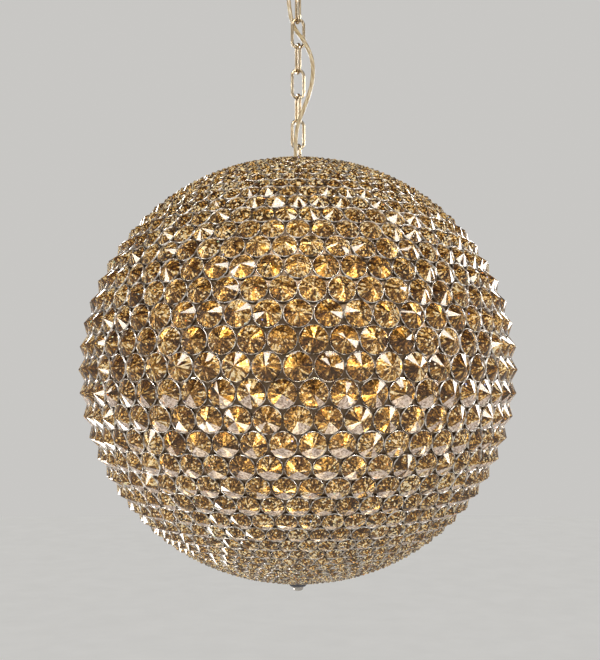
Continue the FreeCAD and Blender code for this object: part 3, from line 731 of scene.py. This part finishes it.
# %% [markdown]
# ## One bezel ring
#
# Each crystal sits in a ring of thin strip with its edge burnished over the girdle. A short
# cylinder without caps is drawn in at the top for the burnished lip, then Solidify gives the strip
# its thickness.

# %% Model the bezel
RING_SIDES = 16
RING_RADIUS = 1.03
RING_TOP = 0.04
LIP_SHARE = 0.988
STRIP_DEPTH = 0.46
STRIP_THICKNESS = 0.030


def model_bezel():
    """A ring for the crystal of radius 1."""
    deselect()
    bpy.ops.mesh.primitive_cylinder_add(
        vertices=RING_SIDES,
        radius=RING_RADIUS,
        depth=STRIP_DEPTH,
        end_fill_type="NOTHING",
        location=(0, 0, RING_TOP - STRIP_DEPTH / 2),
        calc_uvs=False,
    )
    ring = settle(started("Bezel"))
    bpy.ops.object.mode_set(mode="EDIT")
    bpy.ops.mesh.select_mode(type="VERT")
    bpy.ops.mesh.select_all(action="DESELECT")
    bpy.ops.object.mode_set(mode="OBJECT")
    for vertex in ring.data.vertices:
        vertex.select = vertex.co.z > 0
    bpy.ops.object.mode_set(mode="EDIT")
    bpy.ops.transform.resize(value=(LIP_SHARE, LIP_SHARE, 1))
    bpy.ops.object.mode_set(mode="OBJECT")
    solid = ring.modifiers.new("Strip", "SOLIDIFY")
    solid.thickness = STRIP_THICKNESS
    solid.offset = -1
    bpy.ops.object.modifier_apply(modifier="Strip")
    bpy.ops.object.shade_smooth()
    return ring


bezel = model_bezel()
print("faces of a bezel:", len(bezel.data.polygons))

# %% [markdown]
# ## Solder between the rings
#
# Where three rings meet, solder has run into the gap. Every gap lies straight above or below one
# stone, so each ring brings two of these little three-pointed webs: a six-sided cylinder with every
# other corner drawn in.

# %% Model the solder
WEB_DISTANCE = 2 / math.sqrt(3) / CRYSTAL_FILL
WEB_POINT = 0.52
WEB_WAIST = 0.17
WEB_DEPTH = 0.10
WEB_LEVEL = -0.24


def solder_web(side):
    """The solder in the gap below (1) or above (-1) the crystal of radius 1: a three-pointed star."""
    deselect()
    bpy.ops.mesh.primitive_cylinder_add(
        vertices=6,
        radius=WEB_POINT,
        depth=WEB_DEPTH,
        location=(side * WEB_DISTANCE, 0, WEB_LEVEL),
        rotation=(0, 0, math.pi / 2),
        calc_uvs=False,
    )
    web = settle(started("Solder_web"))
    middle = Vector((side * WEB_DISTANCE, 0))
    for vertex in web.data.vertices:
        arm = vertex.co.xy - middle
        turn = math.atan2(arm.y, arm.x * side)
        if math.cos(3 * turn) < 0:
            vertex.co.xy = middle + arm * (WEB_WAIST / WEB_POINT)
    return web


web_below, web_above = solder_web(1), solder_web(-1)
print("faces of a web:", len(web_below.data.polygons))

# %% [markdown]
# ## Rows round the globe
#
# A row is made the way a jeweller would mark it out: one stone is set on the meridian, then an
# Array modifier with a turned empty copies it round the axis. Odd rows start half a pitch on.

# %% Rows of copies
STEP_DEGREES = 360 / CRYSTALS_IN_ROW
STEP_EMPTY = bpy.data.objects.new("Row_step", None)
STEP_EMPTY.rotation_euler = (0, 0, math.radians(STEP_DEGREES))
scene.collection.objects.link(STEP_EMPTY)


def set_row(pattern, row, slide=0):
    """Copies of the pattern round one row, slid down by a share of the crystals' radius."""
    spin = (0.5 * (row % 2)) * 2 * math.pi / CRYSTALS_IN_ROW - math.pi / 2
    place = (
        Matrix.Rotation(spin, 4, "Z")
        @ Matrix.Rotation(math.pi / 2 - latitude_of(row), 4, "Y")
        @ Matrix.Translation((0, 0, GLOBE_RADIUS))
        @ Matrix.Scale(girdle_radius(row), 4)
    )
    copy = pattern.copy()
    copy.data = pattern.data.copy()
    copy.data.transform(place @ Matrix.Translation((slide, 0, 0)))
    scene.collection.objects.link(copy)
    array = copy.modifiers.new("Round", "ARRAY")
    array.use_relative_offset = False
    array.use_object_offset = True
    array.offset_object = STEP_EMPTY
    array.count = CRYSTALS_IN_ROW
    only(copy)
    bpy.ops.object.modifier_apply(modifier="Round")
    return copy


print("turn from stone to stone:", round(STEP_DEGREES, 3), "degrees")

# %% [markdown]
# ## Rings, webs and bands of rows
#
# The globe parts between rows 0 and -1. A web in that seam is soldered to the half whose two rings
# it joins, so it is made with that half and slid a little clear of the ring of the other one.

# %% Rings and bands
SEAM_SLIDE = 0.03


def ring_row(row):
    """The rings of a row with their webs, of which those in the seam stay clear of the other half."""
    webs = [(web_below, row, 0), (web_above, row, 0)]
    if row == 0:
        webs = [(web_above, 0, 0), (web_above, -1, -SEAM_SLIDE)]
    if row == -1:
        webs = [(web_below, -1, 0), (web_below, 0, SEAM_SLIDE)]
    return [set_row(bezel, row)] + [set_row(*web) for web in webs]


def band_rows(first):
    """Rows from the first to the last, shared out over the bands as the CAD's nodes are."""
    rows = list(range(first, LAST_ROW + 1))
    share = len(rows) / BANDS
    return [[row for i, row in enumerate(rows) if int(i / share) == band] for band in range(BANDS)]


print("rows of the upper bands:", band_rows(0))

# %% [markdown]
# ## No two stones alike
#
# Stones are dropped into their rings as they come, so each is turned by a random angle about its
# own axis and leans by up to a degree or so. That is what scatters the white flashes. All chance
# comes from one fixed seed.

# %% Turn the stones
STONE_LEAN = math.radians(1.3)
rng = np.random.default_rng(52)


def turn_stones(mesh, corners_each):
    """Turn every stone of a mesh about its own axis, and lean it slightly."""
    points = np.empty(len(mesh.vertices) * 3, np.float32)
    mesh.vertices.foreach_get("co", points)
    stones = points.reshape(-1, corners_each, 3).astype(float)
    for stone in stones:
        middle = stone.mean(axis=0)
        axis = Vector(middle).normalized()
        lean_about = axis.orthogonal()
        lean_about.rotate(Matrix.Rotation(rng.uniform(0, 2 * math.pi), 3, axis))
        turn = Matrix.Rotation(rng.uniform(-STONE_LEAN, STONE_LEAN), 3, lean_about)
        turn = turn @ Matrix.Rotation(rng.uniform(0, 2 * math.pi), 3, axis)
        stone[:] = (stone - middle) @ np.array(turn).T + middle
    mesh.vertices.foreach_set("co", stones.astype(np.float32).ravel())
    mesh.update()


print("stones lean by up to", round(math.degrees(STONE_LEAN), 2), "degrees")

# %% [markdown]
# ## A tone for every facet
#
# Each stone leans to dark or bright, and each of its facets departs from that, as painted reflections
# of the inside. Stones look more shattered towards the poles. On the lower half, but not at its foot,
# the low facets of a stone are marked for a painted reflection of the floor.

# %% Tone the facets
STONE_SHARE, FACET_SHARE = 0.4, 0.6
SHATTER_EQUATOR, SHATTER_POLE = 0.40, 1.0
SHATTER_WAVER = 0.15
# Which low facets take a painted reflection of the floor.
PAINTED_REFLECTION_TOP, PAINTED_REFLECTION_FOOT = -0.05, -0.9
PAINTED_REFLECTION_DROP = 0.42
PAINTED_REFLECTION_CHANCE = 0.8


def tone_facets(mesh, faces_each):
    """Write a tone on every facet, and one number on each stone that tells it from the rest."""
    stones = len(mesh.polygons) // faces_each
    leaning = rng.beta(2.2, 2.4, (stones, 1))
    facets = rng.beta(1.1, 1.3, (stones, faces_each))
    tones = STONE_SHARE * leaning + FACET_SHARE * facets
    own = np.repeat(rng.random((stones, 1)), faces_each, axis=1)
    middles = np.empty(len(mesh.polygons) * 3, np.float32)
    mesh.polygons.foreach_get("center", middles)
    heights = middles.reshape(stones, faces_each, 3)[:, :, 2] / GLOBE_RADIUS
    rise = heights.mean(axis=1, keepdims=True)
    shatter = SHATTER_EQUATOR + (SHATTER_POLE - SHATTER_EQUATOR) * np.abs(rise)
    shatter = shatter + rng.uniform(-SHATTER_WAVER, SHATTER_WAVER, (stones, 1))
    shatter = np.repeat(np.clip(shatter, 0, 1), faces_each, axis=1)
    # The low facets of stones on the lower half get a painted reflection of the floor.
    drop = (rise - heights) / (np.pi / CRYSTALS_IN_ROW * np.sqrt(1 - rise**2))
    low_stone = (rise < PAINTED_REFLECTION_TOP) & (rise > PAINTED_REFLECTION_FOOT)
    frost = (drop > PAINTED_REFLECTION_DROP) & low_stone & (rng.random((stones, faces_each)) < PAINTED_REFLECTION_CHANCE)
    rows = (("facet_tone", tones), ("stone_tone", own), ("shatter", shatter), ("frost", frost))
    for name, values in rows:
        layer = mesh.attributes.new(name, "FLOAT", "FACE")
        layer.data.foreach_set("value", values.astype(np.float32).ravel())


print("chance of frost on a low facet:", PAINTED_REFLECTION_CHANCE)

# %% [markdown]
# ## Setting the globe
#
# The real globe opens at its equator, so the upper half rides on the body that hangs from the chain
# and the lower half on the one that comes down. Each half is made in six bands of rows, as the
# model's solids are. The stones of a band replace the plain ones, and its rings replace the frame,
# which is only a thin shell in the model.


# %% Set the crystals and the rings
def set_globe():
    """The crystals and the rings of both halves, band by band."""
    corners_each = len(crystal.data.vertices)
    faces_each = len(crystal.data.polygons)
    for word, side, first, body in (("upper", 1, 0, "globe"), ("lower", -1, 1, "lower_globe")):
        for band, rows in enumerate(band_rows(first), start=1):
            stones = join_as([set_row(crystal, row * side) for row in rows], f"Crystals_{word}_{band}")
            turn_stones(stones.data, corners_each)
            tone_facets(stones.data, faces_each)
            stones.data.transform(Matrix.Translation(GLOBE))
            hand_over(stones, CRYSTAL, body, f"crystals_{word}_{band}")
            stones.data.materials.append(CRYSTAL_BACK)
            slots = np.zeros((len(stones.data.polygons) // faces_each, faces_each), np.int32)
            slots[:, BACK_FACES] = 1
            stones.data.polygons.foreach_set("material_index", slots.ravel())
            rings = [piece for row in rows for piece in ring_row(row * side)]
            rings = join_as(rings, f"Bezels_{word}_{band}")
            rings.data.transform(Matrix.Translation(GLOBE))
            hand_over(rings, BEZEL_CHROME, body, f"{word}_frame")
        print(word, "half set in", BANDS, "bands of rows")


set_globe()
for pattern in (crystal, bezel, web_below, web_above, STEP_EMPTY):
    bpy.data.objects.remove(pattern)

# %% [markdown]
# ## The flex
#
# A clear gold sheath over three twisted cores leaves the bush in the canopy, goes down beside the
# chain, is laced once through a link, and ends in the bush on top of the globe. Its route is the
# list of points in millimetres that the construction uses: the first ones from the ceiling, the
# others from the globe's middle.

# %% The flex's route
GLOBE_BELOW_CEILING = 0.5587
FLEX_DOWN_TO_CHAIN = [(-14, 14, -18.5), (-14, 14, -36)]
FLEX_ABOVE_GLOBE = [
    (-14.4, 13.7, 494),
    (-13.4, 12.8, 474),
    (-12.0, 11.2, 456),
    (-10.4, 9.4, 439),
    (-8.0, 7.6, 424),
    (-2.0, 2.8, 409),
    (5.4, -4.0, 398),
    (11.6, -7.6, 386),
    (16.4, -9.4, 373),
    (18.3, -10.2, 358),
    (16.8, -11.0, 342),
    (12.8, -12.2, 327),
    (7.6, -13.2, 313),
    (2.4, -13.2, 300),
    (-1.4, -12.8, 287),
    (-2.9, -14.6, 273),
    (-3.0, -17.0, 257),
    (-3.0, -17.0, 241.7),
]


def flex_route():
    """The route's points in metres, from the terminal block in the canopy to the one in the globe."""
    upper = [Vector(point) / 1000 for point in FLEX_DOWN_TO_CHAIN]
    drop = Vector((0, 0, GLOBE_BELOW_CEILING))
    return upper + [Vector(point) / 1000 - drop for point in FLEX_ABOVE_GLOBE]


print("points of the route:", len(flex_route()))

# %% [markdown]
# ## A smooth line
#
# The route is read as a NURBS spline, which runs smoothly past its points. The flex has to bend
# wherever the chain does, and a piece can bend across one joint only, so it is cut at the middle of
# each link.

# %% The flex's line
FLEX_DIAMETER = 0.005
FLEX_SIDES = 16
FLEX_STEPS = 8


def nurbs_line(points):
    """Points along the smooth spline that has the route as its control points."""
    data = bpy.data.curves.new("Flex_route", "CURVE")
    data.dimensions = "3D"
    data.resolution_u = FLEX_STEPS
    spline = data.splines.new("NURBS")
    spline.points.add(len(points) - 1)
    for control, point in zip(spline.points, points):
        control.co = (*point, 1)
    spline.order_u = 3
    spline.use_endpoint_u = True
    route = bpy.data.objects.new("Flex_route", data)
    scene.collection.objects.link(route)
    mesh = bpy.data.meshes.new_from_object(route)
    line = [vertex.co.copy() for vertex in mesh.vertices]
    bpy.data.objects.remove(route)
    bpy.data.meshes.remove(mesh)
    return line


flex_line = nurbs_line(flex_route())
print("points along the flex:", len(flex_line))

# %% [markdown]
# ## Cutting the line
#
# Each length of flex is the part of the line between two levels, with its ends exactly on them.


# %% Parts of a line
def cut_line(line, top, bottom):
    """The part of a falling line between two levels, with new end points exactly on them."""
    part = []
    for a, b in zip(line, line[1:]):
        for level in (top, bottom):
            if a.z > level > b.z:
                part.append(a.lerp(b, (a.z - level) / (a.z - b.z)))
        if top >= b.z >= bottom:
            part.append(b.copy())
    return part


def length_of(line):
    """The length of a line through points."""
    return sum((b - a).length for a, b in zip(line, line[1:]))


print("flex line:", round(length_of(flex_line), 4), "m")

# %% [markdown]
# ## Sweeping the sheath
#
# The tube is a ring of points carried along the line without twist. Its UV map holds millimetres
# along the flex and the turn round it, so the sheath's finish can follow the cores inside.

# %% Tubes along a line
SMOOTH_UP_TO = math.radians(50)


def tube(name, line, radius, sides, start):
    """A closed tube along a line, with a UV map in millimetres along and turns round."""
    rings, corners, distance = [], [], start
    across = (line[1] - line[0]).orthogonal().normalized()
    for i, point in enumerate(line):
        ahead = (line[min(i + 1, len(line) - 1)] - line[max(i - 1, 0)]).normalized()
        across = (across - ahead * across.dot(ahead)).normalized()
        beside = ahead.cross(across)
        distance += (point - line[i - 1]).length * 1000 if i else 0
        rings.append(distance)
        for k in range(sides):
            angle = 2 * math.pi * k / sides
            corners.append(point + (across * math.cos(angle) + beside * math.sin(angle)) * radius)
    faces, layout = [], []
    for i in range(len(line) - 1):
        near, far = i * sides, (i + 1) * sides
        for k in range(sides):
            after = (k + 1) % sides
            faces.append((near + k, near + after, far + after, far + k))
            layout += [(rings[i], k), (rings[i], k + 1), (rings[i + 1], k + 1), (rings[i + 1], k)]
    last = (len(line) - 1) * sides
    faces += [tuple(reversed(range(sides))), tuple(range(last, last + sides))]
    layout += [(rings[0], 0)] * sides + [(rings[-1], 0)] * sides
    mesh = bpy.data.meshes.new(name)
    mesh.from_pydata(corners, [], faces)
    layer = mesh.uv_layers.new(name="Along")
    layer.data.foreach_set("uv", [x for u, v in layout for x in (u, v / sides)])
    obj = bpy.data.objects.new(name, mesh)
    scene.collection.objects.link(obj)
    only(obj)
    bpy.ops.object.shade_smooth_by_angle(angle=SMOOTH_UP_TO)
    return obj


print("corners round the sheath:", FLEX_SIDES)

# %% [markdown]
# ## The sheath's finish
#
# The sheath is clear golden plastic. Through it the three twisted cores show as soft slanting
# bands, so the tone follows the sum of the distance along and the turn round.

# %% Clear gold sheath
CORE_TWIST_MM = 42.0
CORES = 3
HAZE_SHARE = 0.3


def sheath_material():
    """Golden plastic, with the cores as soft bands."""
    material, nodes, shader = new_material(
        "Clear_gold_sheath", IOR=1.5, Transmission_Weight=0.1, Coat_Weight=0.35, Coat_Roughness=0.12
    )
    where = nodes.add("ShaderNodeUVMap", {"uv_map": "Along"}).outputs["UV"]
    parts = nodes.add("ShaderNodeSeparateXYZ", Vector=where)
    along = nodes.maths("DIVIDE", parts.outputs["X"], CORE_TWIST_MM)
    turn = nodes.maths("ADD", along, parts.outputs["Y"])
    phase = nodes.maths("MULTIPLY", turn, 2 * math.pi * CORES)
    wave = nodes.maths("MULTIPLY_ADD", nodes.maths("SINE", phase), 0.5, 0.5)
    haze = nodes.noise(nodes.place(), 350.0, 3.0)
    seen = nodes.mixed(HAZE_SHARE, wave, haze)
    tint = nodes.ramp(
        seen, [(0.15, (0.30, 0.21, 0.10)), (0.45, (0.40, 0.30, 0.16)), (0.85, (0.48, 0.38, 0.22))]
    )
    nodes.wire(tint, shader.inputs["Base Color"])
    polished(nodes, shader, 120, 0.14, 0.28, MOULDED_RELIEF)
    return material


SHEATH = sheath_material()
print("sheath finish:", SHEATH.name)

# %% [markdown]
# ## Eight lengths of flex
#
# The first length leaves the canopy and reaches to the middle of the first link, and the last
# one ends in the globe. Each leaves the one above it, and its UV map counts on from the lengths above.


# %% Lay the flex
def middle_of(node):
    """The level of a node's middle."""
    low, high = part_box(node)
    return (low[2] + high[2]) / 2


def lay_flex():
    links = [f"link_{i}" for i in range(1, 8)]
    bodies = ["root", *links, "globe"]
    cuts = [0.0, *[middle_of(f"chain_{link}") for link in links], -1.0]
    gone = 0.0
    for i, (above, below) in enumerate(zip(bodies, bodies[1:])):
        line = cut_line(flex_line, cuts[i], cuts[i + 1])
        if i == 0:
            line.insert(0, flex_line[0].copy())
        piece = tube(f"Flex_{i + 1}", line, FLEX_DIAMETER / 2, FLEX_SIDES, gone * 1000)
        piece.data.materials.append(SHEATH)
        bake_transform(piece)
        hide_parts("supply_flex")
        gone += length_of(line)
    print("flex from block to block:", round(gone, 4), "m")


lay_flex()

# %% [markdown]
# ## The finish of the model's own parts
#
# The canopy, the chain, the plates and everything inside the globe keep their solid shapes and only
# need their finish. What hangs in sight is polished gold, what fixes the light to the ceiling is
# zinc plated, and the tubes inside are bronze, which hides them behind amber glass.

# %% Dress the solid parts
dress(GOLD, "ceiling_loop", "globe_loop", "canopy_collar")
dress(GOLD, *[f"chain_link_{i}" for i in range(1, 8)])
dress(CANOPY_GOLD, "canopy")
dress(ZINC, "ceiling_bracket", "threaded_nipple", "bracket_nut")
dress(TERMINAL_PLASTIC, "ceiling_terminal_block", "globe_terminal_block")
dress(BUSH_PLASTIC, "canopy_bush", "globe_bush")
dress(CHROME, "top_plate", "bottom_plate", "finial_dome")
dress(DARK_CHROME, "finial_nut")
dress(BRONZE, "stem")
for tier in ("upper", "middle", "lower"):
    dress(BRONZE, f"{tier}_hub", f"{tier}_arms")
    dress(CERAMIC, f"{tier}_lampholders")
    dress(lamp_material(tier), f"{tier}_lamps")
print("finishes in use:", len(bpy.data.materials))

# %% [markdown]
# ## The floor
#
# The light hangs over a pale floor in a pale studio. The floor glows just enough, to the eye and in
# reflections, to meet the backdrop without a line, and it still takes the shadow.

# %% Floor
FLOOR_DROP = 2.4
FLOOR_HALF_WIDTH = 20
FLOOR_GLOW = 0.621


def build_floor():
    """A wide pale floor with a glow of its own."""
    floor_level = GLOBE.z - GLOBE_RADIUS - FLOOR_DROP
    deselect()
    bpy.ops.mesh.primitive_plane_add(size=2 * FLOOR_HALF_WIDTH, location=(0, 0, floor_level))
    floor = settle(started("Floor"))
    material, nodes, shader = new_material("Pale_floor", Roughness=0.9)
    clouds = nodes.noise(nodes.place(), 3.0, 3.0)
    pale = nodes.ramp(clouds, [(0.3, (0.78, 0.77, 0.745)), (0.7, (0.81, 0.80, 0.775))])
    shaded = nodes.mixed(0.5, pale, (0.10, 0.10, 0.10, 1))
    nodes.wire(shaded, shader.inputs["Base Color"])
    nodes.wire(pale, shader.inputs["Emission Color"])
    path = nodes.add("ShaderNodeLightPath")
    seen = nodes.maths("MAXIMUM", path.outputs["Is Camera Ray"], path.outputs["Is Glossy Ray"])
    seen = nodes.maths("MAXIMUM", seen, path.outputs["Is Transmission Ray"])
    nodes.wire(nodes.maths("MULTIPLY", seen, FLOOR_GLOW), shader.inputs["Emission Strength"])
    floor.data.materials.append(material)
    print("floor at", round(floor_level, 2), "m")


build_floor()

# %% [markdown]
# ## Soft boxes
#
# Each facet that faces a soft box flashes white. Two tall ones stand at the sides, two behind, two
# long thin strips high in front, one at the right and one low on the left. A broad weak one in front
# only fills the shade, so no facet mirrors it.

# %% Soft boxes
BOX_DISTANCE = 2.0
BOX_RADIANCE = 15
FRONT_RADIANCE = 4.5


def soft_box(name, azimuth, elevation, width, height, radiance=BOX_RADIANCE):
    """An area light that faces the globe. Azimuth 0 is in front, and 90 to the right."""
    turn, rise = math.radians(azimuth), math.radians(elevation)
    out = Vector((math.sin(turn) * math.cos(rise), -math.cos(turn) * math.cos(rise), math.sin(rise)))
    data = bpy.data.lights.new(name, "AREA")
    data.shape = "RECTANGLE"
    data.size, data.size_y = width, height
    data.energy = radiance * math.pi * width * height
    light = bpy.data.objects.new(name, data)
    light.location = GLOBE + out * BOX_DISTANCE
    light.rotation_euler = out.to_track_quat("Z", "Y").to_euler()
    light.visible_camera = False
    scene.collection.objects.link(light)
    return light


for side in (-1, 1):
    word = "left" if side < 0 else "right"
    soft_box(f"Tall_{word}", 68 * side, 6, 0.16, 1.4)
    soft_box(f"Back_{word}", 152 * side, 20, 0.22, 0.7)
soft_box("Front_fill", 0, -4, 1.4, 1.4, FRONT_RADIANCE).visible_glossy = False
soft_box("Strip_upper", 6, 54, 2.8, 0.12)
soft_box("Strip_lower", 0, 43, 2.8, 0.10)
soft_box("Side_right", 112, 16, 0.4, 0.8)
soft_box("Low_left", -112, -36, 0.5, 0.6)
print("lights:", len(bpy.data.lights))

# %% [markdown]
# ## The backdrop
#
# The world is the backdrop: pale all round for the camera, and for metal and glass pale at eye level
# and darker overhead, as in a studio. It adds little to the light itself.

# %% Backdrop
BACKDROP_LEVEL = 0.58
CEILING_LEVEL = 0.16
FILL_LEVEL = 0.14
WALL_TOP, ROOF_START = 0.30, 0.62


def build_world():
    """The backdrop: one level for the camera, a falling one for reflections, and a weak fill."""
    world = bpy.data.worlds.new("Studio")
    world.use_nodes = True
    nodes = Nodes(world.node_tree)
    background = world.node_tree.nodes["Background"]
    direction = nodes.add("ShaderNodeTexCoord").outputs["Generated"]
    rise = nodes.add("ShaderNodeSeparateXYZ", Vector=direction).outputs["Z"]
    levels = (WALL_TOP, ROOF_START, BACKDROP_LEVEL, CEILING_LEVEL)
    backdrop = nodes.ranged(rise, *levels, interpolation_type="SMOOTHSTEP")
    path = nodes.add("ShaderNodeLightPath")
    level = nodes.mixed(path.outputs["Is Diffuse Ray"], backdrop, FILL_LEVEL)
    level = nodes.mixed(path.outputs["Is Camera Ray"], level, BACKDROP_LEVEL)
    background.inputs["Color"].default_value = (1, 0.985, 0.955, 1)
    nodes.wire(level, background.inputs["Strength"])
    scene.world = world


build_world()
scene.view_settings.view_transform = "Standard"
print("backdrop level:", BACKDROP_LEVEL)

# %% [markdown]
